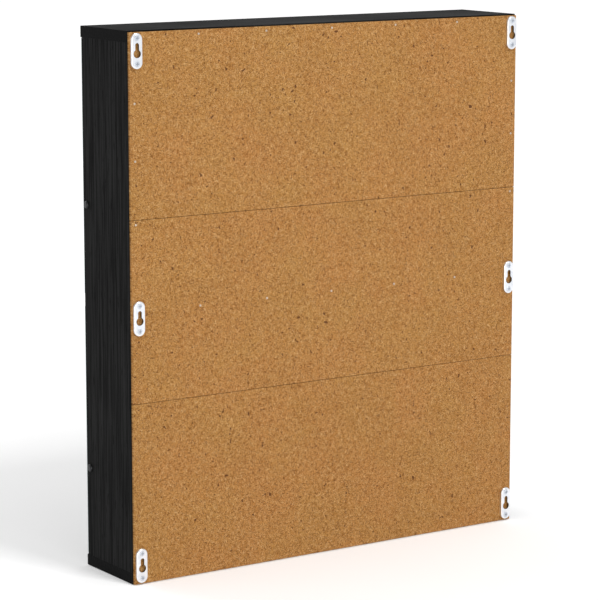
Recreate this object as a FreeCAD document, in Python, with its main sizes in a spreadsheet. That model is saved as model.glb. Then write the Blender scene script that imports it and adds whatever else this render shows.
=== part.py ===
import FreeCAD, Part

import math
import os
import re

import Sketcher

# Wall-hung shadow box with two clear doors, one above the other.
# Frame: +Z is up, -Y is the front, +X is the right seen from the front.
# The origin is the middle of the bottom board's underside.
# Every name below is an alias in the sheet "Sizes", in millimetres.
SIZES = (
    ("case_width", 500, "outer width of the case"),
    ("case_height", 580, "outer height of the case"),
    ("board", 12, "thickness of the case boards"),
    ("board_depth", 97, "depth of the top, middle and bottom boards"),
    ("side_setback", 2.3, "side boards start this far behind the other boards' front"),
    ("edge_break", 0.4, "softened edge of every board"),
    ("bore_spare", 0.5, "blind hole, deeper than what goes into it"),
    ("shelf", 9, "thickness of a loose shelf"),
    ("shelf_depth", 86, "front to back of a loose shelf"),
    ("shelf_play", 0.6, "gap at each end and behind a loose shelf"),
    ("peg_bore", 5.1, "shelf pin hole"),
    ("peg", 5, "shelf pin"),
    ("peg_bore_depth", 8.5, "depth of a shelf pin hole"),
    ("peg_plug", 8, "length of a shelf pin inside its hole"),
    ("peg_reach", 8, "length of a shelf pin under the shelf"),
    ("peg_collar", 8, "shelf pin collar"),
    ("peg_collar_thick", 1.2, "thickness of the collar"),
    ("peg_pitch", 32, "spacing of the shelf pin holes up the side"),
    ("peg_front", 24, "front shelf pin, behind the side board's front edge"),
    ("peg_rear", 20, "rear shelf pin, in front of the side board's back edge"),
    ("dowel", 6, "dowel"),
    ("dowel_bore", 6.1, "dowel hole"),
    ("dowel_chamfer", 0.6, "chamfer on the ends of a dowel"),
    ("dowel_cap", 8, "dowel length in the top, bottom or side board"),
    ("dowel_end", 16, "dowel length in the end grain"),
    ("dowel_margin", 22, "dowel, from the side board's front and back edges"),
    ("back", 3, "thickness of the hardboard back"),
    ("back_inset", 0.6, "case edge left bare beside the back"),
    ("back_drop", 1.5, "case edge left bare above the back"),
    ("back_rise", 0.4, "case edge left bare below the back"),
    ("fold_gap", 0.45, "gap between two folding back panels"),
    ("tape_wide", 24, "fold tape, across the fold"),
    ("tape", 0.2, "thickness of the fold tape"),
    ("tape_play", 2, "fold tape ends short of the side boards"),
    ("nail", 1.3, "nail shank"),
    ("nail_bore", 1.4, "nail hole"),
    ("nail_hole", 16, "depth of a nail hole in the boards"),
    ("nail_length", 18, "nail, under its head"),
    ("nail_tip", 1.5, "length of the nail's point"),
    ("nail_head", 2.4, "nail head"),
    ("nail_head_high", 0.6, "height of the nail head"),
    ("nail_sunk", 0.2, "lower nails, head below the hardboard's face"),
    ("nail_sink", 2.5, "hole that a sunk nail head sits in"),
    ("nail_margin", 6.3, "nail, from the outer edge of the case"),
    ("plate_long", 36.8, "hanger plate, top to bottom"),
    ("plate_wide", 13, "hanger plate, side to side"),
    ("plate_high", 3.2, "hanger plate, how far it stands off the back"),
    ("plate_wall", 1.1, "front wall of the hanger plate around the keyhole"),
    ("plate_edge", 1.2, "rounding of the hanger plate's rim"),
    ("plate_margin", 8.3, "hanger plate centre, from the outer side of the case"),
    ("plate_top", 20.6, "upper plates' centre, below the top of the case"),
    ("plate_middle", 283.5, "middle plates' centre, above the underside"),
    ("plate_bottom", 20.5, "lower plates' centre, above the underside"),
    ("room_wide", 10, "hollow behind the keyhole, side to side"),
    ("room_up", 10.9, "hollow, above the plate's centre"),
    ("room_down", 8.2, "hollow, below the plate's centre"),
    ("key_entry", 8.5, "round entry of the keyhole"),
    ("key_entry_drop", 2.8, "entry's centre, below the plate's centre"),
    ("key_slot", 4.4, "slot of the keyhole"),
    ("key_slot_rise", 6.1, "slot's end centre, above the plate's centre"),
    ("hang_screw", 2.8, "hanger screw"),
    ("hang_screw_bore", 2.9, "pilot hole of the hanger screw"),
    ("plate_screw_bore", 3, "screw hole of the hanger plate"),
    ("hang_screw_crown", 0.4, "low dome on the hanger screw's head"),
    ("hang_screw_length", 16, "hanger screw, overall"),
    ("hang_screw_head", 5.6, "hanger screw's countersunk head"),
    ("hang_screw_pitch", 13.3, "hanger screws, from the plate's centre"),
    ("pane", 2, "thickness of a door pane"),
    ("pane_side_play", 1, "pane, short of the case's outer sides"),
    ("pane_end_play", 1, "pane, short of the boards above and below"),
    ("hinge_barrel", 3.6, "hinge barrel"),
    ("hinge_pin", 1.8, "hinge pin"),
    ("hinge_pin_play", 0.12, "hinge pin, diameter less than its knuckle's"),
    ("hinge_long", 30, "hinge, top to bottom"),
    ("hinge_pin_head", 1, "height of the hinge pin's head"),
    ("hinge_middle", 10, "length of the door leaf's knuckle"),
    ("knuckle_gap", 0.3, "gap between knuckles"),
    ("knuckle_room", 0.4, "gap between a leaf and the other leaf's knuckle"),
    ("hinge_leaf", 1, "thickness of a hinge leaf"),
    ("hinge_outward", 1.3, "hinge axis, outside the case's left side"),
    ("hinge_forward", 1.3, "hinge axis, in front of the pane"),
    ("frame_leaf_deep", 15, "frame leaf, front to back"),
    ("door_leaf_wide", 23, "door leaf, side to side"),
    ("hinge_inset", 30, "hinge, from the top and bottom of its pane"),
    ("hinge_screw", 2.5, "hinge screw"),
    ("hinge_screw_bore", 2.6, "hole for the hinge screw"),
    ("hinge_screw_head", 4.6, "hinge screw's head"),
    ("hinge_screw_head_high", 1.5, "height of the hinge screw's head"),
    ("hinge_screw_rise", 8, "hinge screws, above and below the hinge's middle"),
    ("frame_screw_back", 5, "frame leaf's screws, from its rear edge"),
    ("frame_screw_length", 10, "frame leaf's screw, under its head"),
    ("screw_tip", 2.5, "length of a wood screw's point"),
    ("thread_spare", 0.5, "bolt, beyond its nut"),
    ("door_screw_out", 5, "door leaf's screws, from its free edge"),
    ("hinge_nut", 5, "hinge nut, across its flats"),
    ("hinge_nut_high", 1.8, "height of the hinge nut"),
    ("catch_wide", 12, "catch, from the side board inward"),
    ("catch_deep", 14, "catch, front to back"),
    ("catch_high", 24, "catch, top to bottom"),
    ("catch_gap", 0.4, "catch, behind the closed door's strike"),
    ("catch_rise", 96.7, "catch and knob, above the board below them"),
    ("catch_bolt", 4, "catch bolt"),
    ("catch_bolt_bore", 4.1, "hole for the catch bolt"),
    ("catch_bolt_back", 7.2, "catch bolt, behind the side board's front edge"),
    ("catch_bolt_head", 8, "catch bolt's domed head"),
    ("catch_bolt_head_high", 2.2, "height of the domed head"),
    ("catch_nut", 7, "catch nut, across its flats"),
    ("catch_nut_high", 3.2, "height of the catch nut"),
    ("magnet", 8, "magnet disc"),
    ("magnet_bore", 8.1, "pocket for the magnet"),
    ("magnet_thick", 2.8, "thickness of the magnet"),
    ("magnet_pocket", 2.9, "depth of the magnet's pocket"),
    ("strike", 11, "strike disc"),
    ("strike_thick", 1.6, "thickness of the strike disc"),
    ("strike_sink", 1.4, "countersink of the strike disc"),
    ("knob", 13, "knob"),
    ("knob_neck", 7, "neck of the knob"),
    ("knob_neck_long", 4.5, "length of the neck"),
    ("knob_head_long", 7, "length of the knob's head"),
    ("knob_round", 1.8, "rounding of the knob's head"),
    ("knob_screw", 3, "knob screw"),
    ("knob_screw_bore", 3.1, "hole for the knob screw"),
    ("knob_screw_depth", 6, "knob screw, how far it goes into the knob"),
)

DOORS = ("upper", "lower")
SIDES = ("left", "right")
PLATE_ROWS = ("upper", "middle", "lower")
BACK_ROWS = ("lower", "middle", "upper")
PEG_ROWS = 3
DOWELS = 3
NAILS_ACROSS = 5
UPPER_NAILS = ("0.657", "0.77", "0.872")
LOWER_NAILS = ("0.128", "0.23", "0.343")
CROSS_RECESS_WIDE = 0.18
CROSS_RECESS_LONG = 0.62
CROSS_RECESS_DEEP = 0.6
DOME_SHARE = 0.85
SAME_PLACE = 0.01

UP = FreeCAD.Vector(0, 0, 1)
REARWARD = FreeCAD.Vector(0, 1, 0)
FORWARD = FreeCAD.Vector(0, -1, 0)
LEFTWARD = FreeCAD.Vector(-1, 0, 0)
RIGHTWARD = FreeCAD.Vector(1, 0, 0)

# Sketch plane of each face of a block, and whether a pocket has to be
# reversed to cut into the block from that face.
FACES = {
    "top": ("XY_Plane", False),
    "bottom": ("XY_Plane", True),
    "right": ("YZ_Plane", False),
    "left": ("YZ_Plane", True),
    "front": ("XZ_Plane", False),
    "back": ("XZ_Plane", True),
}

doc = FreeCAD.newDocument("ShadowBox")
sheet = doc.addObject("Spreadsheet::Sheet", "Sizes")
subparts = []


def fill_sheet():
    """Write the driving dimensions, one row each."""
    for row, (alias, amount, meaning) in enumerate(SIZES, start=1):
        sheet.set("A%d" % row, alias)
        sheet.set("B%d" % row, str(amount))
        sheet.setAlias("B%d" % row, alias)
        sheet.set("C%d" % row, meaning)
    doc.recompute()


def in_sheet(text):
    """An expression whose words are read from the sheet."""
    return re.sub(r"[a-z][a-z_]*", r"Sizes.\g<0>", text)


def bind(item, prop, text):
    item.setExpression(prop, in_sheet(text))


def value(text):
    """The number that an expression stands for now."""
    return float(sheet.evalExpression(in_sheet(text)))


# ---------------------------------------------------------------- sketches

def start_body(node, corner):
    """An empty body whose own origin stands at the given corner."""
    body = doc.addObject("PartDesign::Body", node)
    body.Label = node
    for axis, text in zip("xyz", corner):
        bind(body, "Placement.Base." + axis, text)
    subparts.append(body)
    return body


def start_sketch(body, name, plane_role, level="0"):
    """A sketch on one of the body's own planes, raised along its normal."""
    sketch = body.newObject("Sketcher::SketchObject", name)
    planes = {plane.Role: plane for plane in body.Origin.OriginFeatures}
    sketch.AttachmentSupport = (planes[plane_role], [""])
    sketch.MapMode = "FlatFace"
    bind(sketch, "AttachmentOffset.Base.z", level)
    return sketch


def name_size(sketch, kind, ends, name, text):
    """Add a named dimension to a sketch and bind it to the sheet."""
    number = sketch.addConstraint(Sketcher.Constraint(kind, *ends, value(text)))
    sketch.renameConstraint(number, name)
    bind(sketch, "Constraints." + name, text)


def add_rectangle(sketch, tag, low, across, high):
    """A rectangle from the corner low = (u, v), across wide and high tall."""
    left, bottom = value(low[0]), value(low[1])
    right, top = left + value(across), bottom + value(high)
    corners = ((left, bottom), (right, bottom), (right, top), (left, top))
    points = [FreeCAD.Vector(u, v, 0) for u, v in corners]
    first = sketch.GeometryCount
    for start, end in zip(points, points[1:] + points[:1]):
        sketch.addGeometry(Part.LineSegment(start, end), False)
    for step in range(4):
        joined = Sketcher.Constraint("Coincident", first + step, 2, first + (step + 1) % 4, 1)
        sketch.addConstraint(joined)
        direction = "Vertical" if step % 2 else "Horizontal"
        sketch.addConstraint(Sketcher.Constraint(direction, first + step))
    name_size(sketch, "DistanceX", (first, 1, first, 2), tag + "_across", across)
    name_size(sketch, "DistanceY", (first + 1, 1, first + 1, 2), tag + "_high", high)
    if left == 0 and bottom == 0:
        sketch.addConstraint(Sketcher.Constraint("Coincident", first, 1, -1, 1))
    else:
        name_size(sketch, "DistanceX", (-1, 1, first, 1), tag + "_from_side", low[0])
        name_size(sketch, "DistanceY", (-1, 1, first, 1), tag + "_from_base", low[1])


def add_circle(sketch, tag, centre, diameter):
    """A circle with its centre at (u, v)."""
    middle = FreeCAD.Vector(value(centre[0]), value(centre[1]), 0)
    number = sketch.addGeometry(Part.Circle(middle, UP, value(diameter) / 2), False)
    name_size(sketch, "Diameter", (number,), tag + "_across", diameter)
    for kind, far, text in (("DistanceX", "_u", centre[0]), ("DistanceY", "_v", centre[1])):
        if value(text):
            name_size(sketch, kind, (-1, 1, number, 3), tag + far, text)
            continue
        axis = -2 if kind == "DistanceX" else -1
        sketch.addConstraint(Sketcher.Constraint("PointOnObject", number, 3, axis))


def pad(body, name, sketch, length, flip=False):
    feature = body.newObject("PartDesign::Pad", name)
    feature.Profile = sketch
    feature.Reversed = flip
    bind(feature, "Length", length)
    doc.recompute()
    return feature


def pocket(body, name, sketch, depth, flip):
    feature = body.newObject("PartDesign::Pocket", name)
    feature.Profile = sketch
    feature.Reversed = flip
    bind(feature, "Length", depth)
    doc.recompute()
    return feature


def edges_of(feature, wanted):
    """Names of the feature's edges that the test accepts."""
    edges = enumerate(feature.Shape.Edges, start=1)
    return ["Edge%d" % number for number, edge in edges if wanted(edge)]


def has_radius(edge, text):
    """True for a round edge of the given radius."""
    return hasattr(edge.Curve, "Radius") and abs(edge.Curve.Radius - value(text)) < SAME_PLACE


def soften(body, name, feature, radius, wanted=lambda edge: True):
    """Round the chosen edges of the body's last feature."""
    rounding = body.newObject("PartDesign::Fillet", name)
    rounding.Base = (feature, edges_of(feature, wanted))
    bind(rounding, "Radius", radius)
    doc.recompute()
    return rounding


def block(node, corner, size, edge="edge_break"):
    """A rectangular piece with softened edges, standing on its own corner."""
    body = start_body(node, corner)
    outline = start_sketch(body, node + "_outline", "XY_Plane")
    add_rectangle(outline, "outline", ("0", "0"), size[0], size[1])
    solid = pad(body, node + "_thickness", outline, size[2])
    if edge:
        soften(body, node + "_edges", solid, edge)
    return body


def drill(body, name, face, level, centres, diameter, depth):
    """Round holes into one face of a block; level is how far out the face is."""
    plane_role, flip = FACES[face]
    sketch = start_sketch(body, name + "_marks", plane_role, level)
    for number, centre in enumerate(centres):
        add_circle(sketch, "hole%d" % number, centre, diameter)
    return pocket(body, name, sketch, depth, flip)


# ------------------------------------------------------------ shared places

def nail_columns():
    """Nails across the case, from the case's left side."""
    return ["case_width * %d / %d" % (step, NAILS_ACROSS + 1) for step in range(1, NAILS_ACROSS + 1)]


def nail_rows(shares=LOWER_NAILS + UPPER_NAILS):
    """Nails up each side, above the underside."""
    return ["case_height * " + share for share in shares]


def plate_height(row):
    heights = {"upper": "case_height - plate_top", "middle": "plate_middle", "lower": "plate_bottom"}
    return heights[row]


def hang_screw_heights():
    """Hanger screws up one side: a pair on every plate."""
    heights = []
    for row in PLATE_ROWS:
        heights.append(plate_height(row) + " + hang_screw_pitch")
        heights.append(plate_height(row) + " - hang_screw_pitch")
    return heights


def door_floor(door):
    """Height of the board face that a door and its compartment stand on."""
    return {"upper": "case_height / 2 + board / 2", "lower": "board"}[door]


def bay():
    """Height of one compartment."""
    return "(case_height - 3 * board) / 2"


def catch_height(door):
    return door_floor(door) + " + catch_rise"


def shelf_seat(door):
    """Height of a loose shelf's underside, in the middle of its compartment."""
    return "%s + (%s) / 2 - shelf / 2" % (door_floor(door), bay())


def peg_heights(door):
    """Rows of shelf pin holes in one compartment."""
    middle = shelf_seat(door) + " - peg / 2"
    return ["%s + peg_pitch * %d" % (middle, row - PEG_ROWS // 2) for row in range(PEG_ROWS)]


def peg_depths():
    """Front and rear shelf pins, behind the side board's front edge."""
    return ["peg_front", "board_depth - side_setback - peg_rear"]


def dowel_depths():
    """Dowels along a joint, behind the side board's front edge."""
    span = "(board_depth - side_setback - 2 * dowel_margin)"
    return ["dowel_margin + %s * %d / %d" % (span, step, DOWELS - 1) for step in range(DOWELS)]


def hinge_middles(door):
    """Heights of the two hinges of a door."""
    low = door_floor(door) + " + pane_end_play + hinge_inset + hinge_long / 2"
    high = "%s + %s - pane_end_play - hinge_inset - hinge_long / 2" % (door_floor(door), bay())
    return [low, high]


def hinge_screw_heights(door):
    heights = []
    for middle in hinge_middles(door):
        heights.append(middle + " + hinge_screw_rise")
        heights.append(middle + " - hinge_screw_rise")
    return heights


# -------------------------------------------------------------- the carcass

def cap_board(node, height, side_face):
    """Top or bottom board: it covers the ends of both side boards."""
    body = block(node, ("-case_width / 2", "-board_depth / 2", height),
                 ("case_width", "board_depth", "board"))
    level = "board" if side_face == "top" else "0"
    dowels = []
    for along in dowel_depths():
        dowels.append(("board / 2", "side_setback + " + along))
        dowels.append(("case_width - board / 2", "side_setback + " + along))
    drill(body, node + "_dowel_holes", side_face, level, dowels, "dowel_bore", "dowel_cap + bore_spare")
    screw_row = "upper" if node == "top_board" else "lower"
    offset = " + hang_screw_pitch" if screw_row == "upper" else " - hang_screw_pitch"
    screw_height = "%s%s - (%s)" % (plate_height(screw_row), offset, height)
    screws = [("plate_margin", screw_height), ("case_width - plate_margin", screw_height)]
    drill(body, node + "_screw_holes", "back", "-board_depth", screws,
          "hang_screw_bore", "hang_screw_length - back - plate_high + bore_spare")
    return body


def top_board():
    body = cap_board("top_board", "case_height - board", "bottom")
    nails = [(across, "board / 2") for across in nail_columns()]
    drill(body, "top_nail_holes", "back", "-board_depth", nails, "nail_bore", "nail_hole")


def bottom_board():
    cap_board("bottom_board", "0", "top")


def middle_board():
    """Fixed board between the two compartments."""
    body = block("middle_board",
                 ("board - case_width / 2", "-board_depth / 2", "case_height / 2 - board / 2"),
                 ("case_width - 2 * board", "board_depth", "board"))
    nails = [(across + " - board", "board / 2") for across in nail_columns()]
    drill(body, "middle_nail_holes", "back", "-board_depth", nails, "nail_bore", "nail_hole")
    dowels = [("side_setback + " + along, "board / 2") for along in dowel_depths()]
    drill(body, "middle_left_dowel_holes", "left", "0", dowels, "dowel_bore", "dowel_end + bore_spare")
    drill(body, "middle_right_dowel_holes", "right", "case_width - 2 * board", dowels,
          "dowel_bore", "dowel_end + bore_spare")


def side_board(side):
    """Side board between the top and bottom boards, drilled for all it carries."""
    node = side + "_side_board"
    left = {"left": "-case_width / 2", "right": "case_width / 2 - board"}[side]
    inner, inner_level = {"left": ("right", "board"), "right": ("left", "0")}[side]
    body = block(node, (left, "side_setback - board_depth / 2", "board"),
                 ("board", "board_depth - side_setback", "case_height - 2 * board"))

    ends = [("board / 2", along) for along in dowel_depths()]
    drill(body, node + "_upper_dowel_holes", "top", "case_height - 2 * board", ends,
          "dowel_bore", "dowel_end + bore_spare")
    drill(body, node + "_lower_dowel_holes", "bottom", "0", ends, "dowel_bore", "dowel_end + bore_spare")
    middle = [(along, "case_height / 2 - board") for along in dowel_depths()]
    drill(body, node + "_middle_dowel_holes", inner, inner_level, middle,
          "dowel_bore", "dowel_cap + bore_spare")

    pegs = [(along, height + " - board")
            for door in DOORS for height in peg_heights(door) for along in peg_depths()]
    drill(body, node + "_peg_holes", inner, inner_level, pegs, "peg_bore", "peg_bore_depth")

    outward = {"left": "%s", "right": "board - (%s)"}[side]
    rear = "side_setback - board_depth"
    nails = [(outward % "nail_margin", height + " - board") for height in nail_rows()]
    drill(body, node + "_nail_holes", "back", rear, nails, "nail_bore", "nail_hole")
    screws = [(outward % "plate_margin", height + " - board") for height in hang_screw_heights()[1:-1]]
    drill(body, node + "_screw_holes", "back", rear, screws,
          "hang_screw_bore", "hang_screw_length - back - plate_high + bore_spare")

    if side == "right":
        bolts = [("catch_bolt_back", catch_height(door) + " - board") for door in DOORS]
        drill(body, "catch_bolt_holes", "right", "board", bolts, "catch_bolt_bore", "board")
    else:
        screws = [("frame_leaf_deep - frame_screw_back - hinge_forward - side_setback",
                   height + " - board") for door in DOORS for height in hinge_screw_heights(door)]
        drill(body, "frame_screw_holes", "left", "0", screws,
              "hinge_screw_bore", "frame_screw_length - hinge_leaf + bore_spare")


def shelf(door):
    """Loose shelf that rests on four pins."""
    block(door + "_shelf",
          ("board + shelf_play - case_width / 2",
           "board_depth / 2 - shelf_play - shelf_depth", shelf_seat(door)),
          ("case_width - 2 * board - 2 * shelf_play", "shelf_depth", "shelf"))


# ------------------------------------------------------------------ the back

def back_panel(row):
    """One of the three hardboard panels that the back folds into."""
    number = BACK_ROWS.index(row)
    high = "(case_height - back_drop - back_rise - 2 * fold_gap) / 3"
    base = "back_rise + (%s + fold_gap) * %d" % (high, number)
    node = "back_panel_" + row
    body = block(node, ("back_inset - case_width / 2", "board_depth / 2", base),
                 ("case_width - 2 * back_inset", "back", high), edge="edge_break / 2")

    def inside(height):
        return 0 < value("%s - (%s)" % (height, base)) < value(high)

    def along_sides(heights, margin):
        """A pair of centres, one near each side, at every height on this panel."""
        return [(across, "%s - (%s)" % (height, base)) for height in heights if inside(height)
                for across in (margin + " - back_inset", "case_width - back_inset - " + margin)]

    nails = along_sides(nail_rows(), "nail_margin")
    crossing = {"upper": "case_height - board / 2", "middle": "case_height / 2"}
    if row in crossing:
        nails += [(across + " - back_inset", "%s - (%s)" % (crossing[row], base))
                  for across in nail_columns()]
    drill(body, node + "_nail_holes", "back", "-back", nails, "nail_bore", "back")
    sunk = along_sides(nail_rows(LOWER_NAILS), "nail_margin")
    if sunk:
        drill(body, node + "_sunk_heads", "back", "-back", sunk, "nail_sink",
              "nail_sunk + nail_head_high")
    screws = along_sides(hang_screw_heights(), "plate_margin")
    drill(body, node + "_screw_holes", "back", "-back", screws, "hang_screw_bore", "back")


def fold_tape(name, number):
    """Tape inside the case that joins two back panels into a folding back."""
    high = "(case_height - back_drop - back_rise - 2 * fold_gap) / 3"
    fold = "back_rise + (%s) * %d + fold_gap * %d - fold_gap / 2" % (high, number, number)
    block(name,
          ("board + tape_play - case_width / 2", "board_depth / 2 - tape", fold + " - tape_wide / 2"),
          ("case_width - 2 * board - 2 * tape_play", "tape", "tape_wide"), edge=None)


# --------------------------------------------------------- the hanger plates

def stadium(sketch, tag, ends, width):
    """An upright slot with round ends, its end centres at ends = (low, high)."""
    radius = value(width) / 2
    low, high = value(ends[0]), value(ends[1])
    first = sketch.GeometryCount
    for height, start in ((high, 0.0), (low, math.pi)):
        circle = Part.Circle(FreeCAD.Vector(0, height, 0), UP, radius)
        sketch.addGeometry(Part.ArcOfCircle(circle, start, start + math.pi), False)
    for side in (-radius, radius):
        line = Part.LineSegment(FreeCAD.Vector(side, high, 0), FreeCAD.Vector(side, low, 0))
        sketch.addGeometry(line, False)
    upper, lower, left, right = range(first, first + 4)
    for pair in ((upper, 2, left, 1), (left, 2, lower, 1), (lower, 2, right, 2), (right, 1, upper, 1)):
        sketch.addConstraint(Sketcher.Constraint("Tangent", *pair))
    sketch.addConstraint(Sketcher.Constraint("PointOnObject", upper, 3, -2))
    sketch.addConstraint(Sketcher.Constraint("PointOnObject", lower, 3, -2))
    sketch.addConstraint(Sketcher.Constraint("Equal", upper, lower))
    name_size(sketch, "Radius", (upper,), tag + "_radius", width + " / 2")
    name_size(sketch, "DistanceY", (-1, 1, upper, 3), tag + "_upper_end", ends[1])
    name_size(sketch, "DistanceY", (-1, 1, lower, 3), tag + "_lower_end", ends[0])


def hanger_plate(row, side):
    """Cast keyhole plate: solid screw ends, hollow behind the keyhole."""
    node = "hanger_plate_%s_%s" % (row, side)
    across = {"left": "plate_margin - case_width / 2", "right": "case_width / 2 - plate_margin"}[side]
    body = start_body(node, (across, "board_depth / 2 + back", plate_height(row)))
    outline = start_sketch(body, node + "_outline", "XZ_Plane")
    reach = "(plate_long - plate_wide) / 2"
    stadium(outline, "outline", ("-" + reach, reach), "plate_wide")
    solid = pad(body, node + "_blank", outline, "plate_high", flip=True)
    outer = value("plate_high") - SAME_PLACE
    soften(body, node + "_rim", solid, "plate_edge", lambda edge: edge.BoundBox.YMin > outer)

    hollow = start_sketch(body, node + "_room", "XZ_Plane")
    stadium(hollow, "room", ("room_wide / 2 - room_down", "room_up - room_wide / 2"), "room_wide")
    pocket(body, node + "_hollow", hollow, "plate_high - plate_wall", False)
    entry = start_sketch(body, node + "_entry", "XZ_Plane", "-plate_high")
    add_circle(entry, "entry", ("0", "-key_entry_drop"), "key_entry")
    pocket(body, node + "_entry_hole", entry, "plate_high", True)
    slot = start_sketch(body, node + "_slot", "XZ_Plane", "-plate_high")
    stadium(slot, "slot", ("-key_entry_drop", "key_slot_rise"), "key_slot")
    pocket(body, node + "_slot_hole", slot, "plate_high", True)
    screws = [("0", "hang_screw_pitch"), ("0", "-hang_screw_pitch")]
    holes = drill(body, node + "_screw_holes", "back", "-plate_high", screws,
                  "plate_screw_bore", "plate_high")
    sink = body.newObject("PartDesign::Chamfer", node + "_countersinks")

    def mouth(edge):
        return has_radius(edge, "plate_screw_bore / 2") and edge.BoundBox.YMin > outer

    sink.Base = (holes, edges_of(holes, mouth))
    bind(sink, "Size", "(hang_screw_head - hang_screw) / 2")


# ----------------------------------------------------------------- the doors

def door_pane(door):
    """Clear pane with holes for its hinge screws and its knob."""
    body = block(door + "_door_pane",
                 ("pane_side_play - case_width / 2", "-board_depth / 2",
                  door_floor(door) + " + pane_end_play"),
                 ("case_width - 2 * pane_side_play", "pane", bay() + " - 2 * pane_end_play"),
                 edge="edge_break / 2")
    base = door_floor(door) + " + pane_end_play"
    screws = [("door_leaf_wide - door_screw_out - pane_side_play", "%s - (%s)" % (height, base))
              for height in hinge_screw_heights(door)]
    drill(body, door + "_pane_hinge_holes", "front", "0", screws, "hinge_screw_bore", "pane")
    knob = [("case_width - board - catch_wide / 2 - pane_side_play",
             "%s - (%s)" % (catch_height(door), base))]
    drill(body, door + "_pane_knob_hole", "front", "0", knob, "knob_screw_bore", "pane")


def knob_centre():
    """Knob, strike and magnet share one axis, in the middle of the catch."""
    return "case_width / 2 - board - catch_wide / 2"


def door_knob(door):
    """Turned knob on the front of the pane."""
    body = start_body(door + "_door_knob", (knob_centre(), "-board_depth / 2", catch_height(door)))
    neck = start_sketch(body, door + "_knob_neck", "XZ_Plane")
    add_circle(neck, "neck", ("0", "0"), "knob_neck")
    pad(body, door + "_knob_neck_turning", neck, "knob_neck_long + knob_head_long / 2")
    head = start_sketch(body, door + "_knob_head", "XZ_Plane", "knob_neck_long")
    add_circle(head, "head", ("0", "0"), "knob")
    turned = pad(body, door + "_knob_head_turning", head, "knob_head_long")
    soften(body, door + "_knob_rounding", turned, "knob_round",
           lambda edge: has_radius(edge, "knob / 2"))
    drill(body, door + "_knob_bore", "back", "0", [("0", "0")], "knob_screw_bore",
          "knob_screw_depth + bore_spare")


def strike_disc(door):
    """Steel disc behind the pane that the magnet holds."""
    body = start_body(door + "_door_strike",
                      (knob_centre(), "pane - board_depth / 2", catch_height(door)))
    disc = start_sketch(body, door + "_strike_disc", "XZ_Plane")
    add_circle(disc, "disc", ("0", "0"), "strike")
    pad(body, door + "_strike_blank", disc, "strike_thick", flip=True)
    hole = drill(body, door + "_strike_hole", "back", "-strike_thick", [("0", "0")],
                 "knob_screw_bore", "strike_thick")
    outer = value("strike_thick") - SAME_PLACE

    def mouth(edge):
        return has_radius(edge, "knob_screw_bore / 2") and edge.BoundBox.YMin > outer

    sink = body.newObject("PartDesign::Chamfer", door + "_strike_countersink")
    sink.Base = (hole, edges_of(hole, mouth))
    bind(sink, "Size", "strike_sink")


# ---------------------------------------------------------------- the catches

def catch_body(door):
    """Plastic catch block inside the right side board."""
    body = block(door + "_catch_body",
                 ("case_width / 2 - board - catch_wide",
                  "pane + strike_thick + catch_gap - board_depth / 2",
                  catch_height(door) + " - catch_high / 2"),
                 ("catch_wide", "catch_deep", "catch_high"))
    bolt_along = "side_setback + catch_bolt_back - pane - strike_thick - catch_gap"
    drill(body, door + "_catch_bolt_hole", "right", "catch_wide",
          [(bolt_along, "catch_high / 2")], "catch_bolt_bore", "catch_wide")
    drill(body, door + "_magnet_pocket", "front", "0",
          [("catch_wide / 2", "catch_high / 2")], "magnet_bore", "magnet_pocket")


def catch_magnet(door):
    body = start_body(door + "_catch_magnet",
                      (knob_centre(), "pane + strike_thick + catch_gap - board_depth / 2",
                       catch_height(door)))
    disc = start_sketch(body, door + "_magnet_disc", "XZ_Plane")
    add_circle(disc, "disc", ("0", "0"), "magnet")
    blank = pad(body, door + "_magnet_blank", disc, "magnet_thick", flip=True)
    soften(body, door + "_magnet_edges", blank, "edge_break / 2")


# ------------------------------------------------------------------ the hinges

def hinge_spot(door):
    """Hinge axis of a door, at the heights of its two hinges."""
    across = value("-case_width / 2 - hinge_outward")
    forward = value("-board_depth / 2 - hinge_forward")
    return [FreeCAD.Vector(across, forward, value(middle)) for middle in hinge_middles(door)]


def knuckle(spot, low, high):
    """Tube round the hinge axis between two heights about the hinge's middle."""
    return Part.makeCylinder(value("hinge_barrel / 2"), high - low, spot + UP * low)


def pin_hole(spot):
    """Bore for the pin, from below the hinge to above it."""
    length = value("hinge_long + 2 * hinge_pin_head")
    return Part.makeCylinder(value("(hinge_pin + hinge_pin_play) / 2"), length,
                             spot - UP * (length / 2))


def leaf_holes(spot, direction, offset):
    """Screw holes through a leaf, above and below the hinge's middle."""
    radius, through = value("hinge_screw_bore / 2"), value("4 * hinge_leaf")
    holes = []
    for rise in (-value("hinge_screw_rise"), value("hinge_screw_rise")):
        start = spot + offset + UP * rise - direction * (through / 2)
        holes.append(Part.makeCylinder(radius, through, start, direction))
    return holes


def frame_leaf(spot):
    """Leaf on the outside of the left side board, with two knuckles."""
    half, barrel = value("hinge_long / 2"), value("hinge_middle / 2 + knuckle_gap")
    side = value("-case_width / 2")
    thick, deep = value("hinge_leaf"), value("frame_leaf_deep")
    leaf = Part.makeBox(thick, deep, 2 * half, FreeCAD.Vector(side - thick, spot.y, spot.z - half))
    gap = Part.makeCylinder(value("hinge_barrel / 2 + knuckle_room"), 2 * barrel, spot - UP * barrel)
    leaf = leaf.fuse([knuckle(spot, -half, -barrel), knuckle(spot, barrel, half)]).cut(gap)
    along = value("frame_leaf_deep - frame_screw_back")
    middle = FreeCAD.Vector(side - spot.x, along, 0)
    return leaf.cut([pin_hole(spot)] + leaf_holes(spot, RIGHTWARD, middle)).removeSplitter()


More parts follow.
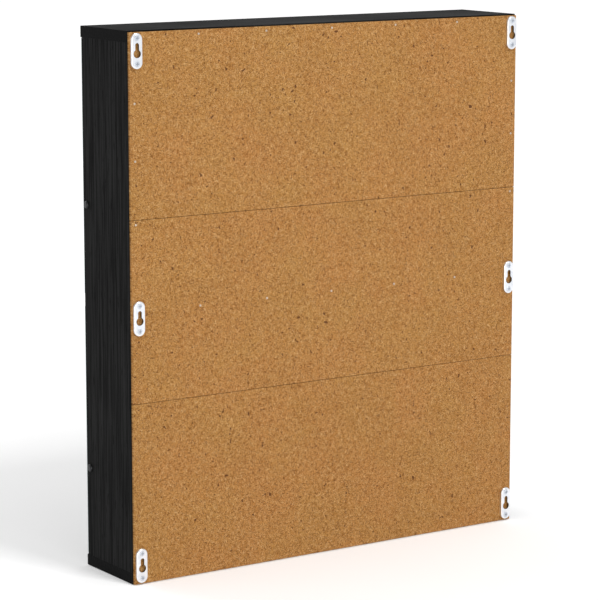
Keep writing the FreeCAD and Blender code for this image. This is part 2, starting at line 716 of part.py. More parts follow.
def door_leaf(spot):
    """Leaf on the front of the pane, with the knuckle between the other two."""
    half, barrel = value("hinge_long / 2"), value("hinge_middle / 2")
    front = value("-board_depth / 2")
    thick, wide = value("hinge_leaf"), value("door_leaf_wide")
    start = value("-case_width / 2")
    leaf = Part.makeBox(wide, thick, 2 * half, FreeCAD.Vector(start, front - thick, spot.z - half))
    bridge = Part.makeBox(start - spot.x, thick, 2 * barrel,
                          FreeCAD.Vector(spot.x, front - thick, spot.z - barrel))
    room = value("hinge_barrel / 2 + knuckle_room")
    notches = [Part.makeCylinder(room, half - barrel, spot + UP * low) for low in (-half, barrel)]
    leaf = leaf.cut(notches).fuse([bridge, knuckle(spot, -barrel, barrel)])
    along = value("door_leaf_wide - door_screw_out") + start
    middle = FreeCAD.Vector(along - spot.x, front - spot.y, 0)
    return leaf.cut([pin_hole(spot)] + leaf_holes(spot, REARWARD, middle)).removeSplitter()


def hinge_pin(spot):
    """Pin with a low round head on top of the barrel."""
    length = value("hinge_long")
    pin = Part.makeCylinder(value("hinge_pin / 2"), length, spot - UP * (length / 2))
    high = value("hinge_pin_head")
    head = Part.makeCylinder(value("hinge_barrel / 2"), high, spot + UP * (length / 2))
    rim = [edge for edge in head.Edges if edge.BoundBox.ZMin > spot.z + (length + high) / 2]
    return pin.fuse(head.makeFillet(value("edge_break"), rim)).removeSplitter()


# --------------------------------------------------------------- the fasteners

def group(node, solids):
    """Identical pieces as one sub-part of separate solids."""
    feature = doc.addObject("Part::Feature", node)
    feature.Label = node
    feature.Shape = Part.makeCompound(solids)
    feature.Placement = FreeCAD.Placement()
    subparts.append(feature)


def placed(solid, spot, direction):
    """A copy of a piece made along +Z, turned to a direction and moved to a spot."""
    copy = solid.copy()
    copy.Placement = FreeCAD.Placement(spot, FreeCAD.Rotation(UP, direction))
    return copy


def domed_head(diameter, high):
    head = Part.makeCylinder(diameter / 2, high)
    rim = [edge for edge in head.Edges if edge.BoundBox.ZMin > high / 2]
    return head.makeFillet(high * DOME_SHARE, rim)


def cross_recess(head, diameter, top):
    """Cut a cross into the top of a screw's head."""
    long, wide = diameter * CROSS_RECESS_LONG, diameter * CROSS_RECESS_WIDE
    depth = CROSS_RECESS_DEEP
    low = top - depth
    first = Part.makeBox(long, wide, depth + 1, FreeCAD.Vector(-long / 2, -wide / 2, low))
    second = Part.makeBox(wide, long, depth + 1, FreeCAD.Vector(-wide / 2, -long / 2, low))
    return head.cut([first, second])


def shank(diameter, length, tip=0):
    """Round shank hanging down from z = 0, pointed where a tip is asked for."""
    rod = Part.makeCylinder(diameter / 2, length - tip, FreeCAD.Vector(0, 0, tip - length))
    if tip:
        rod = rod.fuse(Part.makeCone(0.1, diameter / 2, tip, FreeCAD.Vector(0, 0, -length)))
    return rod


def nail():
    head = domed_head(value("nail_head"), value("nail_head_high"))
    body = head.fuse(shank(value("nail"), value("nail_length"), value("nail_tip")))
    return body.removeSplitter()


def hanger_screw():
    """Countersunk wood screw; z = 0 is level with the plate's face."""
    wide, thin = value("hang_screw_head / 2"), value("hang_screw / 2")
    crown = value("hang_screw_crown")
    cone = Part.makeCone(thin, wide, wide - thin, FreeCAD.Vector(0, 0, thin - wide))
    rod = shank(value("hang_screw"), value("hang_screw_length"), value("screw_tip"))
    body = cone.fuse([domed_head(2 * wide, crown), rod])
    return cross_recess(body.removeSplitter(), 2 * wide, crown)


def pan_screw(length, tip=0):
    head_wide, head_high = value("hinge_screw_head"), value("hinge_screw_head_high")
    body = domed_head(head_wide, head_high).fuse(shank(value("hinge_screw"), length, tip))
    return cross_recess(body.removeSplitter(), head_wide, head_high)


def knob_screw():
    """Countersunk screw through the strike disc and the pane into the knob."""
    thin = value("knob_screw / 2")
    sunk = value("strike_sink")
    cone = Part.makeCone(thin, thin + sunk, sunk, FreeCAD.Vector(0, 0, -sunk))
    length = value("strike_thick + pane + knob_screw_depth")
    body = cone.fuse(shank(value("knob_screw"), length)).removeSplitter()
    return cross_recess(body, 2 * (thin + sunk), 0)


def hexagon(across_flats, high, bore):
    """Hexagonal nut standing on z = 0."""
    corner = across_flats / 3 ** 0.5
    outline = Part.makePolygon([FreeCAD.Rotation(UP, 60 * turn).multVec(FreeCAD.Vector(corner, 0, 0))
                                for turn in range(7)])
    nut = Part.Face(outline).extrude(UP * high)
    return nut.cut(Part.makeCylinder(bore / 2, high))


def catch_bolt():
    """Dome-headed bolt through the side board and the catch."""
    head = domed_head(value("catch_bolt_head"), value("catch_bolt_head_high"))
    length = value("board + catch_wide + catch_nut_high + thread_spare")
    return head.fuse(shank(value("catch_bolt"), length)).removeSplitter()


def shelf_pin():
    """Pin along +Z: plug below zero, collar, then the peg under the shelf."""
    radius, wide = value("peg / 2"), value("peg_collar")
    plug = Part.makeCylinder(radius, value("peg_plug"), FreeCAD.Vector(0, 0, -value("peg_plug")))
    collar = Part.makeCylinder(wide / 2, value("peg_collar_thick"))
    notch = Part.makeBox(wide, wide, wide, FreeCAD.Vector(-wide / 2, radius, 0))
    peg = Part.makeCylinder(radius, value("peg_reach"))
    return plug.fuse([collar.cut(notch), peg]).removeSplitter()


def shelf_pins(door):
    """Four pins that hold a loose shelf; the collar is flat under the shelf."""
    inner = value("case_width / 2 - board")
    front = value("side_setback - board_depth / 2")
    height = value(peg_heights(door)[PEG_ROWS // 2])
    pins = []
    for depth in peg_depths():
        for way in (-1, 1):
            pin = shelf_pin()
            pin.Placement = FreeCAD.Placement(
                FreeCAD.Vector(way * inner, front + value(depth), height),
                FreeCAD.Rotation(FreeCAD.Vector(0, -way, 0), UP, LEFTWARD * way, "ZYX"))
            pins.append(pin)
    group(door + "_shelf_pins", pins)


def dowel_groups():
    """Glued dowels of the three board joints."""
    span = value("dowel_cap + dowel_end")
    side = value("case_width / 2 - board / 2")
    front = value("side_setback - board_depth / 2")
    depths = [front + value(along) for along in dowel_depths()]
    upright = Part.makeCylinder(value("dowel / 2"), span)
    ends = [edge for edge in upright.Edges if has_radius(edge, "dowel / 2")]
    upright = upright.makeChamfer(value("dowel_chamfer"), ends)
    top = value("case_height - board - dowel_end")
    low = value("board - dowel_cap")
    group("top_joint_dowels",
          [placed(upright, FreeCAD.Vector(way * side, y, top), UP) for y in depths for way in (-1, 1)])
    group("bottom_joint_dowels",
          [placed(upright, FreeCAD.Vector(way * side, y, low), UP) for y in depths for way in (-1, 1)])
    start = value("case_width / 2 - board + dowel_cap")
    group("middle_joint_dowels",
          [placed(upright, FreeCAD.Vector(way * start, y, value("case_height / 2")), LEFTWARD * way)
           for y in depths for way in (-1, 1)])


def nail_groups():
    """Nails that hold the back to the top, middle and side boards."""
    piece = nail()
    face = value("board_depth / 2 + back")
    columns = [value(across + " - case_width / 2") for across in nail_columns()]
    rows = {"back_nails_top": value("case_height - board / 2"),
            "back_nails_middle": value("case_height / 2")}
    for node, height in rows.items():
        spots = [FreeCAD.Vector(across, face, height) for across in columns]
        group(node, [placed(piece, spot, REARWARD) for spot in spots])
    side = value("case_width / 2 - nail_margin")
    for node, across in (("back_nails_left", -side), ("back_nails_right", side)):
        spots = [FreeCAD.Vector(across, face, value(height)) for height in nail_rows(UPPER_NAILS)]
        group(node, [placed(piece, spot, REARWARD) for spot in spots])
    sunk = face - value("nail_sunk + nail_head_high")
    spots = [FreeCAD.Vector(across, sunk, value(height))
             for across in (-side, side) for height in nail_rows(LOWER_NAILS)]
    group("back_nails_sunk", [placed(piece, spot, REARWARD) for spot in spots])


def hanger_screws():
    piece = hanger_screw()
    face = value("board_depth / 2 + back + plate_high")
    across = value("case_width / 2 - plate_margin")
    spots = [FreeCAD.Vector(way * across, face, value(height))
             for way in (-1, 1) for height in hang_screw_heights()]
    group("hanger_screws", [placed(piece, spot, REARWARD) for spot in spots])


def catch_fasteners(door):
    """Bolt from outside the case and its nut inside."""
    side = value("case_width / 2")
    along = value("side_setback + catch_bolt_back - board_depth / 2")
    height = value(catch_height(door))
    group(door + "_catch_bolt", [placed(catch_bolt(), FreeCAD.Vector(side, along, height), RIGHTWARD)])
    seat = FreeCAD.Vector(side - value("board + catch_wide"), along, height)
    nut = hexagon(value("catch_nut"), value("catch_nut_high"), value("catch_bolt_bore"))
    group(door + "_catch_nut", [placed(nut, seat, LEFTWARD)])


def knob_fastener(door):
    seat = value("pane + strike_thick - board_depth / 2")
    spot = FreeCAD.Vector(value(knob_centre()), seat, value(catch_height(door)))
    group(door + "_knob_screw", [placed(knob_screw(), spot, REARWARD)])


def hinge_set(door):
    """The two hinges of a door, with their pins, screws and nuts."""
    spots = hinge_spot(door)
    group(door + "_hinge_frame_leaves", [frame_leaf(spot) for spot in spots])
    group(door + "_hinge_door_leaves", [door_leaf(spot) for spot in spots])
    group(door + "_hinge_pins", [hinge_pin(spot) for spot in spots])

    heights = [value(height) for height in hinge_screw_heights(door)]
    outside = value("-case_width / 2 - hinge_leaf")
    along = spots[0].y + value("frame_leaf_deep - frame_screw_back")
    wood_screw = pan_screw(value("frame_screw_length"), value("screw_tip"))
    group(door + "_hinge_frame_screws",
          [placed(wood_screw, FreeCAD.Vector(outside, along, z), LEFTWARD) for z in heights])

    across = value("door_leaf_wide - door_screw_out - case_width / 2")
    front = value("-board_depth / 2 - hinge_leaf")
    bolt = pan_screw(value("hinge_leaf + pane + hinge_nut_high + thread_spare"))
    group(door + "_hinge_door_screws",
          [placed(bolt, FreeCAD.Vector(across, front, z), FORWARD) for z in heights])
    rear = value("pane - board_depth / 2")
    nut = hexagon(value("hinge_nut"), value("hinge_nut_high"), value("hinge_screw_bore"))
    group(door + "_hinge_door_nuts",
          [placed(nut, FreeCAD.Vector(across, rear, z), REARWARD) for z in heights])


# ------------------------------------------------------------ the whole object

def build():
    fill_sheet()
    top_board()
    bottom_board()
    middle_board()
    for side in SIDES:
        side_board(side)
    for row in BACK_ROWS:
        back_panel(row)
    fold_tape("lower_fold_tape", 1)
    fold_tape("upper_fold_tape", 2)
    for row in PLATE_ROWS:
        for side in SIDES:
            hanger_plate(row, side)
    for door in DOORS:
        shelf(door)
        door_pane(door)
        door_knob(door)
        strike_disc(door)
        catch_body(door)
        catch_magnet(door)
    doc.recompute()
    dowel_groups()
    nail_groups()
    hanger_screws()
    for door in DOORS:
        shelf_pins(door)
        hinge_set(door)
        catch_fasteners(door)
        knob_fastener(door)
    doc.recompute()


def check():
    """Stop if anything failed, came out empty or cut nothing."""
    for item in doc.Objects:
        if "Invalid" in item.State or "Error" in item.State:
            raise RuntimeError("%s failed: %s" % (item.Name, item.State))
        if item.TypeId == "PartDesign::Pocket":
            if item.Shape.Volume > item.BaseFeature.Shape.Volume - 0.01:
                raise RuntimeError("%s cuts nothing" % item.Name)
    for item in subparts:
        if item.Shape.isNull() or not item.Shape.isValid():
            raise RuntimeError("%s has a bad shape" % item.Label)


def write():
    os.makedirs("parts", exist_ok=True)
    for item in subparts:
        item.Shape.exportStep("parts/%s.step" % item.Label)
    print("%d sub-parts written" % len(subparts))


build()
check()
write()
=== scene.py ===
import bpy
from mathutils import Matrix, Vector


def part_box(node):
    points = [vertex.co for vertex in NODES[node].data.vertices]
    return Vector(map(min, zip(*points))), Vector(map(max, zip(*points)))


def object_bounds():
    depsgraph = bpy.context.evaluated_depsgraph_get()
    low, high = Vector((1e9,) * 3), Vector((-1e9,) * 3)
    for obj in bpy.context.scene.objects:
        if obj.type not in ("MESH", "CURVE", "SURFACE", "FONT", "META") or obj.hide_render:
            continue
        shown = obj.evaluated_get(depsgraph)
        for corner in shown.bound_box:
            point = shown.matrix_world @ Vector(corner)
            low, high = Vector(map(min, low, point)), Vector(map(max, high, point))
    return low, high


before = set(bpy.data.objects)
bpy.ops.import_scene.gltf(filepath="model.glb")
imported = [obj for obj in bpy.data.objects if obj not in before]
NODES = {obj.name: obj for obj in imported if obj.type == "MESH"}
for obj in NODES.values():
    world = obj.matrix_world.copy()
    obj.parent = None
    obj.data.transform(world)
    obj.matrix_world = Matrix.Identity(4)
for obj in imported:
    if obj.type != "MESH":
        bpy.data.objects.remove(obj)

import fnmatch
import math

import bpy
from mathutils import Vector

CAD_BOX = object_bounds()
MM = 0.001
X, Y, Z = 0, 1, 2
CASE_MIDDLE = Vector((0, 0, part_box("top_board")[1].z / 2))

# The camera stands behind the case, to its right and a little above it. It is
# moved a little sideways and down in its own frame.
VIEW_AZIMUTH = math.radians(146.19)
VIEW_ELEVATION = math.radians(9.75)
VIEW_DISTANCE = 2.898
VIEW_LENS = 158.3
VIEW_SENSOR = 36.0
VIEW_RIGHT = -0.00534
VIEW_UP = -0.01717


# ------------------------------------------------------------ material nodes

class Recipe:
    """A material's node tree, built one node at a time."""

    SHADER_INPUTS = {"color": "Base Color", "roughness": "Roughness", "metallic": "Metallic",
                     "normal": "Normal", "specular": "Specular IOR Level", "ior": "IOR",
                     "transmission": "Transmission Weight",
                     "glow_color": "Emission Color", "glow": "Emission Strength"}

    def __init__(self, name):
        self.material = bpy.data.materials.new(name)
        self.material.use_nodes = True
        self.tree = self.material.node_tree
        self.shader = self.tree.nodes["Principled BSDF"]
        coordinates = self.node("ShaderNodeTexCoord")
        self.place = coordinates.outputs["Object"]
        self.outward = coordinates.outputs["Normal"]

    def node(self, kind, **settings):
        made = self.tree.nodes.new(kind)
        for name, setting in settings.items():
            setattr(made, name, setting)
        return made

    def feed(self, made, inputs):
        """Set a node's inputs, by name or number, from values or other nodes' outputs."""
        for key, source in inputs.items():
            socket = made.inputs[key]
            if isinstance(source, bpy.types.NodeSocket):
                self.tree.links.new(source, socket)
            else:
                socket.default_value = source
        return made

    def compute(self, operation, first, second=0.0):
        made = self.node("ShaderNodeMath", operation=operation)
        return self.feed(made, {0: first, 1: second}).outputs[0]

    def part(self, vector, axis):
        """One axis of a vector: X, Y or Z."""
        return self.feed(self.node("ShaderNodeSeparateXYZ"), {0: vector}).outputs[axis]

    def stretched(self, place, scale, turn=(0, 0, 0)):
        """Coordinates turned by three angles in radians, then scaled per axis."""
        turned = self.node("ShaderNodeVectorRotate", rotation_type="EULER_XYZ")
        self.feed(turned, {"Vector": place, "Rotation": turn})
        made = self.node("ShaderNodeVectorMath", operation="MULTIPLY")
        return self.feed(made, {0: turned.outputs[0], 1: scale}).outputs[0]

    def shifted(self, place, offset):
        made = self.node("ShaderNodeVectorMath", operation="ADD")
        return self.feed(made, {0: place, 1: offset}).outputs[0]

    def noise(self, place, scale, detail=2, roughness=0.5, distortion=0.0):
        made = self.node("ShaderNodeTexNoise")
        self.feed(made, {"Vector": place, "Scale": scale, "Detail": detail,
                         "Roughness": roughness, "Distortion": distortion})
        return made.outputs[0]

    def band(self, amount, source, target=(0.0, 1.0)):
        """Map the source range to the target range, clamped at both ends."""
        made = self.node("ShaderNodeMapRange", clamp=True)
        self.feed(made, {"Value": amount, "From Min": source[0], "From Max": source[1],
                         "To Min": target[0], "To Max": target[1]})
        return made.outputs[0]

    def blend(self, share, first, second):
        """Mix two colours: all first at share 0, all second at share 1."""
        made = self.node("ShaderNodeMix", data_type="RGBA")
        return self.feed(made, {0: share, 6: first, 7: second}).outputs[2]

    def bump(self, height, depth, strength, below=None):
        """Relief of a depth in metres, on top of the relief below if there is one."""
        made = self.node("ShaderNodeBump")
        self.feed(made, {"Height": height, "Distance": depth, "Strength": strength})
        if below is not None:
            self.feed(made, {"Normal": below})
        return made.outputs[0]

    def finish(self, **inputs):
        self.feed(self.shader, {self.SHADER_INPUTS[key]: inputs[key] for key in inputs})
        return self.material


def grey(level):
    return (level, level, level, 1.0)


def drawn_out(axis, squeeze):
    """A scale that draws a pattern out along one axis."""
    scale = [1.0, 1.0, 1.0]
    scale[axis] = squeeze
    return scale


# ------------------------------------------------------------------ black foil

FOIL_DEEP, FOIL_RAISED, FOIL_DASH = grey(0.0035), grey(0.0175), grey(0.002)
END_TAPE_DARK, END_TAPE_LIGHT = grey(0.005), grey(0.007)
LONG_GRAIN, SHORT_GRAIN = 0.025, 0.1


def wood_foil(name, grain_axis):
    """Black foil printed and embossed with straight wood grain.

    The ends of a level board are closed with a plain tape.
    """
    r = Recipe(name)
    long_grain = r.stretched(r.place, drawn_out(grain_axis, LONG_GRAIN))
    short_grain = r.stretched(r.place, drawn_out(grain_axis, SHORT_GRAIN))
    stripes = r.noise(long_grain, scale=300, detail=2, roughness=0.6, distortion=0.3)
    lines = r.noise(long_grain, scale=900, detail=3, roughness=0.7)
    dashes = r.noise(short_grain, scale=420, detail=2, roughness=0.6)
    tone = r.compute("ADD", r.band(stripes, (0.4, 0.6), (0.0, 0.8)),
                     r.band(lines, (0.35, 0.65), (0.0, 0.2)))
    color = r.blend(tone, FOIL_DEEP, FOIL_RAISED)
    color = r.blend(r.band(dashes, (0.6, 0.66), (0.0, 0.8)), color, FOIL_DASH)
    rough = r.band(r.noise(r.place, scale=9, detail=1), (0.3, 0.7), (0.5, 0.6))
    relief = r.bump(lines, 0.2 * MM, 0.5, r.bump(stripes, 0.6 * MM, 0.5))
    if grain_axis == X:
        mottle = r.band(r.noise(r.place, scale=300), (0.3, 0.7))
        tape = r.blend(mottle, END_TAPE_DARK, END_TAPE_LIGHT)
        end = r.compute("ABSOLUTE", r.part(r.outward, X))
        color = r.blend(r.band(end, (0.5, 0.9)), color, tape)
    return r.finish(color=color, roughness=rough, normal=relief, specular=0.02)


# ------------------------------------------------------------------- hardboard

TAN_WARM = (0.434, 0.199, 0.058, 1)
TAN_COOL = (0.420, 0.217, 0.060, 1)
TAN_DEEP = (0.36, 0.17, 0.046, 1)
GRAIN_BROWN = (0.22, 0.085, 0.012, 1)
FIBRE_BROWN = (0.125, 0.043, 0.006, 1)
FIBRE_PALE = (0.66, 0.44, 0.21, 1)
HAIR_BROWN = (0.10, 0.04, 0.011, 1)
BARK_BROWN = (0.085, 0.027, 0.009, 1)
SEALED_BLACK = grey(0.02)

# The matted fibres lie in layers, each turned and shifted from the last.
FIBRE_LAYERS = 6
FIBRE_LENGTH, FIBRE_WIDTH = 5.2 * MM, 0.7 * MM
FIRST_TURN = 0.2
LAYER_SHIFT = (3.3, 0.0, 1.7)

# Loose hairs: length, width, turn in radians and shift in the pattern.
HAIRS = ((16 * MM, 1.2 * MM, 1.4, (0.0, 0.0, 0.0)),
         (11 * MM, 1.2 * MM, 0.1, (5.3, 0.0, 9.1)))

BARK_SHIFT = (3.1, 0.0, 1.7)

# Where each leaf lies in the pattern, so that the three leaves differ.
LEAF_SHIFTS = {"lower": (0.0, 0.0, 0.0), "middle": (0.37, 0.0, 1.9), "upper": (1.21, 0.0, 4.3)}


def strands(r, place, length, width, turn):
    """Noise drawn out into short strands lying at one angle in the board's face."""
    drawn = r.stretched(place, (1 / length, 1, 1 / width), (0, turn, 0))
    return r.noise(drawn, scale=1.0, detail=1, distortion=0.4)


def matted_fibres(r, place):
    """Where the dark fibres and the pale ones lie, each from 0 to 1."""
    dark = 0.0
    pale = 0.0
    for layer in range(FIBRE_LAYERS):
        shifted = r.shifted(place, [layer * step for step in LAYER_SHIFT])
        turn = FIRST_TURN + layer * math.pi / FIBRE_LAYERS
        fibres = strands(r, shifted, FIBRE_LENGTH, FIBRE_WIDTH, turn)
        dark = r.compute("MAXIMUM", dark, r.band(fibres, (0.60, 0.72)))
        pale = r.compute("MAXIMUM", pale, r.band(fibres, (0.38, 0.24)))
    return dark, pale


def loose_hairs(r, place):
    """Where single long hairs lie, from 0 to 1."""
    hairs = 0.0
    for length, width, turn, shift in HAIRS:
        kind = strands(r, r.shifted(place, shift), length, width, turn)
        hairs = r.compute("MAXIMUM", hairs, kind)
    return r.band(hairs, (0.72, 0.76))


def hardboard(name, shift):
    """Raw fibreboard: tan, with matted fibres, hairs and dark specks of bark.

    The face towards the inside of the case is sealed with a black finish.
    """
    r = Recipe(name)
    place = r.shifted(r.place, shift)
    cloud = r.noise(place, scale=14, detail=3, roughness=0.6)
    mottle = r.noise(place, scale=30, detail=4, roughness=0.65)
    grain = r.noise(place, scale=800, detail=2, roughness=0.8)
    bark = r.noise(r.shifted(place, BARK_SHIFT), scale=220, detail=1)
    dark, pale = matted_fibres(r, place)
    layers = ((r.band(mottle, (0.38, 0.62), (0.0, 0.45)), TAN_DEEP),
              (r.band(grain, (0.6, 0.38), (0.0, 0.8)), GRAIN_BROWN),
              (r.compute("MULTIPLY", dark, 0.95), FIBRE_BROWN),
              (r.compute("MULTIPLY", pale, 0.6), FIBRE_PALE),
              (r.compute("MULTIPLY", loose_hairs(r, place), 0.85), HAIR_BROWN),
              (r.band(bark, (0.728, 0.755), (0.0, 0.9)), BARK_BROWN),
              (r.band(r.part(r.outward, Y), (-0.5, -0.9)), SEALED_BLACK))
    color = r.blend(r.band(cloud, (0.38, 0.62)), TAN_WARM, TAN_COOL)
    for share, layer_color in layers:
        color = r.blend(share, color, layer_color)
    rough = r.band(grain, (0.3, 0.7), (0.72, 0.9))
    relief = r.bump(grain, 0.25 * MM, 0.6, r.bump(dark, 0.2 * MM, -0.4))
    return r.finish(color=color, roughness=rough, normal=relief, specular=0.15)


# ---------------------------------------------------------------------- metals

# Light colour, dark colour and roughness.
BRIGHT_ZINC = ((0.90, 0.92, 0.96, 1), (0.80, 0.83, 0.88, 1), 0.32)
SCREW_ZINC = ((0.73, 0.77, 0.84, 1), (0.63, 0.67, 0.74, 1), 0.3)
NICKEL = ((0.46, 0.47, 0.48, 1), (0.41, 0.42, 0.43, 1), 0.24)
DARK_NICKEL = ((0.30, 0.31, 0.33, 1), (0.24, 0.25, 0.27, 1), 0.3)
MAGNET_NICKEL = ((0.50, 0.50, 0.52, 1), (0.42, 0.42, 0.44, 1), 0.2)
NAIL_STEEL = ((0.60, 0.53, 0.45, 1), (0.46, 0.40, 0.33, 1), 0.42)
DUSTY_STEEL = ((0.46, 0.26, 0.12, 1), (0.36, 0.19, 0.08, 1), 0.6)
BLACK_STEEL = ((0.05, 0.051, 0.053, 1), (0.032, 0.032, 0.034, 1), 0.36)

# Painted shade: how dark it makes the metal, as a share of the metal's dark colour, and how much
# roughness it adds.
PAINTED_SHADE_DARKNESS = 0.12
PAINTED_SHADE_ROUGHNESS = 0.3

# The middle of a hanger plate, which holds its keyhole, in half widths of the
# plate: from just outside it to wholly inside.
KEYHOLE_WIDTH = (0.82, 0.8)
KEYHOLE_HEIGHT = (1.8, 1.7)

# Depth below the outer face where the painted shade starts and where it is full.
WALL_DEPTH = (0.15 * MM, 0.5 * MM)
RECESS_DEPTH = (0.2 * MM, 0.5 * MM)


def metal(name, plating, brush=0.0, painted_shade=None):
    """Plated metal with a faint cast texture and dull patches.

    brush is the roughness that fine upright brush lines add. The last argument,
    if given, is a function that takes the recipe and says where shade is
    painted, from 0 to 1: there the colour is darkened and the surface duller.
    """
    light, dark, roughness = plating
    r = Recipe(name)
    cast = r.noise(r.place, scale=700, detail=3, roughness=0.6)
    patch = r.noise(r.place, scale=160)
    color = r.blend(r.band(patch, (0.35, 0.65)), dark, light)
    rough = r.band(cast, (0.3, 0.7), (roughness - 0.06, roughness + 0.08))
    if brush:
        upright = r.stretched(r.place, drawn_out(Z, 0.04))
        brushed = r.noise(upright, scale=4000, detail=2, roughness=0.6)
        rough = r.compute("ADD", rough, r.band(brushed, (0.3, 0.7), (0.0, brush)))
    # Shade is painted where the mask says: the colour is darkened there and the surface made
    # rougher.
    if painted_shade:
        share = painted_shade(r)
        color = r.blend(share, color, [PAINTED_SHADE_DARKNESS * level for level in dark[:3]] + [1.0])
        rough = r.compute("ADD", rough, r.compute("MULTIPLY", share, PAINTED_SHADE_ROUGHNESS))
    relief = r.bump(cast, 0.04 * MM, 0.5)
    return r.finish(color=color, roughness=rough, normal=relief, metallic=1.0)


def keyhole_wall_shade(r):
    """Where shade is painted on the walls of the keyholes and of the hollows behind them."""
    boxes = [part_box("hanger_plate_%s_right" % row) for row in ("upper", "middle", "lower")]
    low, high = boxes[0]
    half = (high.x - low.x) / 2
    side = r.compute("ABSOLUTE", r.part(r.place, X))
    off_middle = r.compute("ABSOLUTE", r.compute("SUBTRACT", side, (low.x + high.x) / 2))
    off_height = 1.0
    for bottom, top in boxes:
        height = r.compute("SUBTRACT", r.part(r.place, Z), (bottom.z + top.z) / 2)
        off_height = r.compute("MINIMUM", off_height, r.compute("ABSOLUTE", height))
    within = r.compute("MULTIPLY", r.band(off_middle, [half * edge for edge in KEYHOLE_WIDTH]),
                       r.band(off_height, [half * edge for edge in KEYHOLE_HEIGHT]))
    below = r.band(r.part(r.place, Y), [high.y - depth for depth in WALL_DEPTH])
    return r.compute("MULTIPLY", within, below)


def screw_recess_shade(r):
    """Where shade is painted in the cross recess of the hanger screws."""
    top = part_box("hanger_screws")[1].y
    return r.band(r.part(r.place, Y), [top - depth for depth in RECESS_DEPTH], (0.0, 0.45))


# ------------------------------------------------ acrylic, plastic, tape, wood

PANE_FACE = (0.72, 0.79, 0.795, 1)
PANE_EDGE = (0.20, 0.26, 0.265, 1)
PANE_IOR = 1.2
PLASTIC_DARK, PLASTIC_LIGHT = grey(0.016), grey(0.025)
TAPE_DARK, TAPE_LIGHT = grey(0.005), grey(0.02)
TAPE_THREADS = 420.0
BEECH_DARK, BEECH_LIGHT = (0.42, 0.25, 0.12, 1), (0.66, 0.47, 0.28, 1)


def clear_acrylic(name):
    """Faintly tinted acrylic sheet, with rub marks on its faces and frosted sawn edges."""
    r = Recipe(name)
    rub = r.noise(r.place, scale=30, detail=3, roughness=0.6)
    hair = r.noise(r.stretched(r.place, drawn_out(Z, 0.05), (0, 0.5, 0)), scale=2500)
    edge = r.band(r.compute("ABSOLUTE", r.part(r.outward, Y)), (0.7, 0.3))
    rough = r.compute("ADD", r.band(rub, (0.4, 0.7), (0.01, 0.025)),
                      r.band(hair, (0.68, 0.75), (0.0, 0.03)))
    rough = r.compute("ADD", rough, r.compute("MULTIPLY", edge, 0.35))
    return r.finish(color=r.blend(edge, PANE_FACE, PANE_EDGE), roughness=rough, ior=PANE_IOR,
                    transmission=r.band(edge, (0.0, 1.0), (1.0, 0.1)))


def moulded_plastic(name):
    """Black plastic with a pebbled, faintly smeared surface."""
    r = Recipe(name)
    pebble = r.noise(r.place, scale=2600)
    smear = r.noise(r.place, scale=120)
    return r.finish(color=r.blend(r.band(smear, (0.3, 0.7)), PLASTIC_DARK, PLASTIC_LIGHT),
                    roughness=r.band(pebble, (0.3, 0.7), (0.4, 0.55)),
                    normal=r.bump(pebble, 0.03 * MM, 0.4), specular=0.4)


def cloth_tape(name):
    """Black woven tape."""
    r = Recipe(name)
    weave = 1.0
    for direction in ("X", "Z"):
        threads = r.node("ShaderNodeTexWave", wave_type="BANDS", bands_direction=direction)
        r.feed(threads, {"Vector": r.place, "Scale": TAPE_THREADS})
        weave = r.compute("MULTIPLY", weave, threads.outputs["Fac"])
    return r.finish(color=r.blend(weave, TAPE_DARK, TAPE_LIGHT),
                    roughness=r.band(weave, (0.0, 1.0), (0.9, 0.75)),
                    normal=r.bump(weave, 0.1 * MM, 0.5), specular=0.1)


def beech(name):
    """Plain beech."""
    r = Recipe(name)
    grain = r.noise(r.stretched(r.place, drawn_out(Z, 0.08)), scale=900, detail=3, roughness=0.6)
    return r.finish(color=r.blend(r.band(grain, (0.3, 0.7)), BEECH_DARK, BEECH_LIGHT),
                    roughness=r.band(grain, (0.3, 0.7), (0.6, 0.75)),
                    normal=r.bump(grain, 0.1 * MM, 0.4))


# ----------------------------------------------------------- what wears what

def dress():
    """Give every CAD node the material of the first pattern that fits its name."""
    foil_level = wood_foil("black_foil_level", X)
    fasteners = metal("fastener_nickel", DARK_NICKEL)
    bolts = metal("blackened_steel", BLACK_STEEL)
    leaves = [("back_panel_" + leaf, hardboard("hardboard_" + leaf, shift))
              for leaf, shift in LEAF_SHIFTS.items()]
    finishes = leaves + [
        ("*_side_board", wood_foil("black_foil_upright", Z)),
        ("*_board", foil_level),
        ("*_shelf", foil_level),
        # The hanger screws get painted shade in their cross recess.
        ("hanger_screws", metal("hanger_screw_zinc", SCREW_ZINC, painted_shade=screw_recess_shade)),
        # The hanger plates get painted shade on the walls of their keyholes and of the hollows
        # behind them.
        ("hanger_plate_*", metal("bright_zinc", BRIGHT_ZINC, painted_shade=keyhole_wall_shade)),
        ("back_nails_sunk", metal("dusty_nail_steel", DUSTY_STEEL)),
        ("back_nails_*", metal("nail_steel", NAIL_STEEL)),
        ("*_catch_bolt", bolts),
        ("*_catch_nut", bolts),
        ("*_hinge_*_screws", fasteners),
        ("*_hinge_*_nuts", fasteners),
        ("*_door_pane", clear_acrylic("clear_acrylic")),
        ("*_catch_body", moulded_plastic("catch_plastic")),
        ("*_catch_magnet", metal("magnet_nickel", MAGNET_NICKEL)),
        ("*_fold_tape", cloth_tape("cloth_tape")),
        ("*_joint_dowels", beech("beech")),
        ("*", metal("nickel_plate", NICKEL, brush=0.05)),
    ]
    for name, obj in NODES.items():
        finish = next(made for pattern, made in finishes if fnmatch.fnmatchcase(name, pattern))
        obj.data.materials.clear()
        obj.data.materials.append(finish)


# ------------------------------------------------------------------ the studio

WORLD_STRENGTH = 0.62
FLOOR_REACH = 60.0
FLOOR_GAP = 0.5 * MM

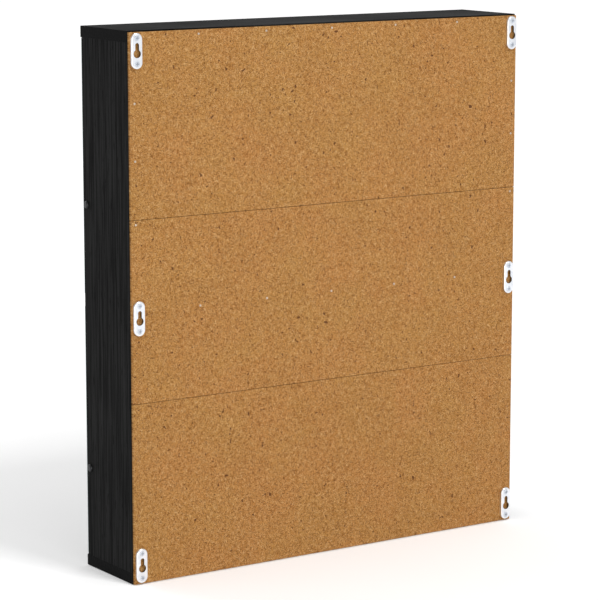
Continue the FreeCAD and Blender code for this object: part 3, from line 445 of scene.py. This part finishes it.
# The floor is pale and glows, so that it stays near white away from the lamps.
# Behind the case, where two lamps stand, its paint is darker and its glow rises
# only further out, so that the clear doors can be seen against it.
PALE_PAINT = (grey(0.90), grey(0.92))
REAR_PAINT = grey(0.55)
REAR_RANGE = (0.8, 2.0)

# How far out the glow starts to rise and how far out it stops, and its strength
# at each.
FRONT_GLOW = ((0.8, 3.5), (0.2, 0.5))
REAR_GLOW = ((2.4, 3.6), (0.15, 0.66))

# Place, width and height, and power in watts.
SOFT_BOXES = {
    "key_softbox": ((-0.5, 2.4, 3.1), (0.9, 0.9), 64),
    "rear_fill": ((0.9, 3.6, 0.35), (1.4, 0.6), 30),
    "front_softbox": ((1.2, -3.0, 2.2), (1.8, 1.8), 30),
}


def floor_paint():
    """Matt pale paint with a glow of its own."""
    r = Recipe("studio_floor_paint")
    speckle = r.band(r.noise(r.place, scale=3), (0.3, 0.7))
    measured = r.feed(r.node("ShaderNodeVectorMath", operation="LENGTH"), {0: r.place})
    distance = measured.outputs["Value"]
    rear = r.band(r.part(r.place, Y), REAR_RANGE)
    front = r.compute("SUBTRACT", 1.0, rear)
    glow = r.compute("ADD", r.compute("MULTIPLY", r.band(distance, *FRONT_GLOW), front),
                     r.compute("MULTIPLY", r.band(distance, *REAR_GLOW), rear))
    color = r.blend(rear, r.blend(speckle, *PALE_PAINT), REAR_PAINT)
    return r.finish(color=color, roughness=0.9, specular=0.1, glow_color=grey(1.0), glow=glow)


def add_floor():
    """Large floor just under the case."""
    reach = FLOOR_REACH
    corners = [(-reach, -reach, 0), (reach, -reach, 0), (reach, reach, 0), (-reach, reach, 0)]
    mesh = bpy.data.meshes.new("studio_floor")
    mesh.from_pydata(corners, [], [(0, 1, 2, 3)])
    mesh.materials.append(floor_paint())
    floor = bpy.data.objects.new("studio_floor", mesh)
    bpy.context.scene.collection.objects.link(floor)
    floor.location.z = CAD_BOX[0].z - FLOOR_GAP


def add_soft_box(name, place, size, watts):
    """Rectangular lamp that shines at the middle of the case."""
    light = bpy.data.lights.new(name, "AREA")
    light.shape = "RECTANGLE"
    light.size, light.size_y = size
    light.energy = watts
    lamp = bpy.data.objects.new(name, light)
    bpy.context.scene.collection.objects.link(lamp)
    lamp.location = place
    lamp.rotation_euler = (CASE_MIDDLE - Vector(place)).to_track_quat("-Z", "Y").to_euler()


def add_world():
    """Even white light from all around."""
    world = bpy.data.worlds.new("white_room")
    bpy.context.scene.world = world
    world.use_nodes = True
    background = world.node_tree.nodes["Background"]
    background.inputs["Color"].default_value = grey(1.0)
    background.inputs["Strength"].default_value = WORLD_STRENGTH


def add_camera():
    data = bpy.data.cameras.new("camera")
    data.lens = VIEW_LENS
    data.sensor_width = VIEW_SENSOR
    camera = bpy.data.objects.new("camera", data)
    bpy.context.scene.collection.objects.link(camera)
    level = math.cos(VIEW_ELEVATION)
    away = Vector((math.sin(VIEW_AZIMUTH) * level, -math.cos(VIEW_AZIMUTH) * level,
                   math.sin(VIEW_ELEVATION)))
    turn = (-away).to_track_quat("-Z", "Y")
    aside = turn @ Vector((VIEW_RIGHT, VIEW_UP, 0))
    camera.location = CASE_MIDDLE + away * VIEW_DISTANCE + aside
    camera.rotation_euler = turn.to_euler()
    bpy.context.scene.camera = camera


dress()
add_floor()
add_world()
for box_name, settings in SOFT_BOXES.items():
    add_soft_box(box_name, *settings)
add_camera()
bpy.context.scene.view_settings.view_transform = "Standard"
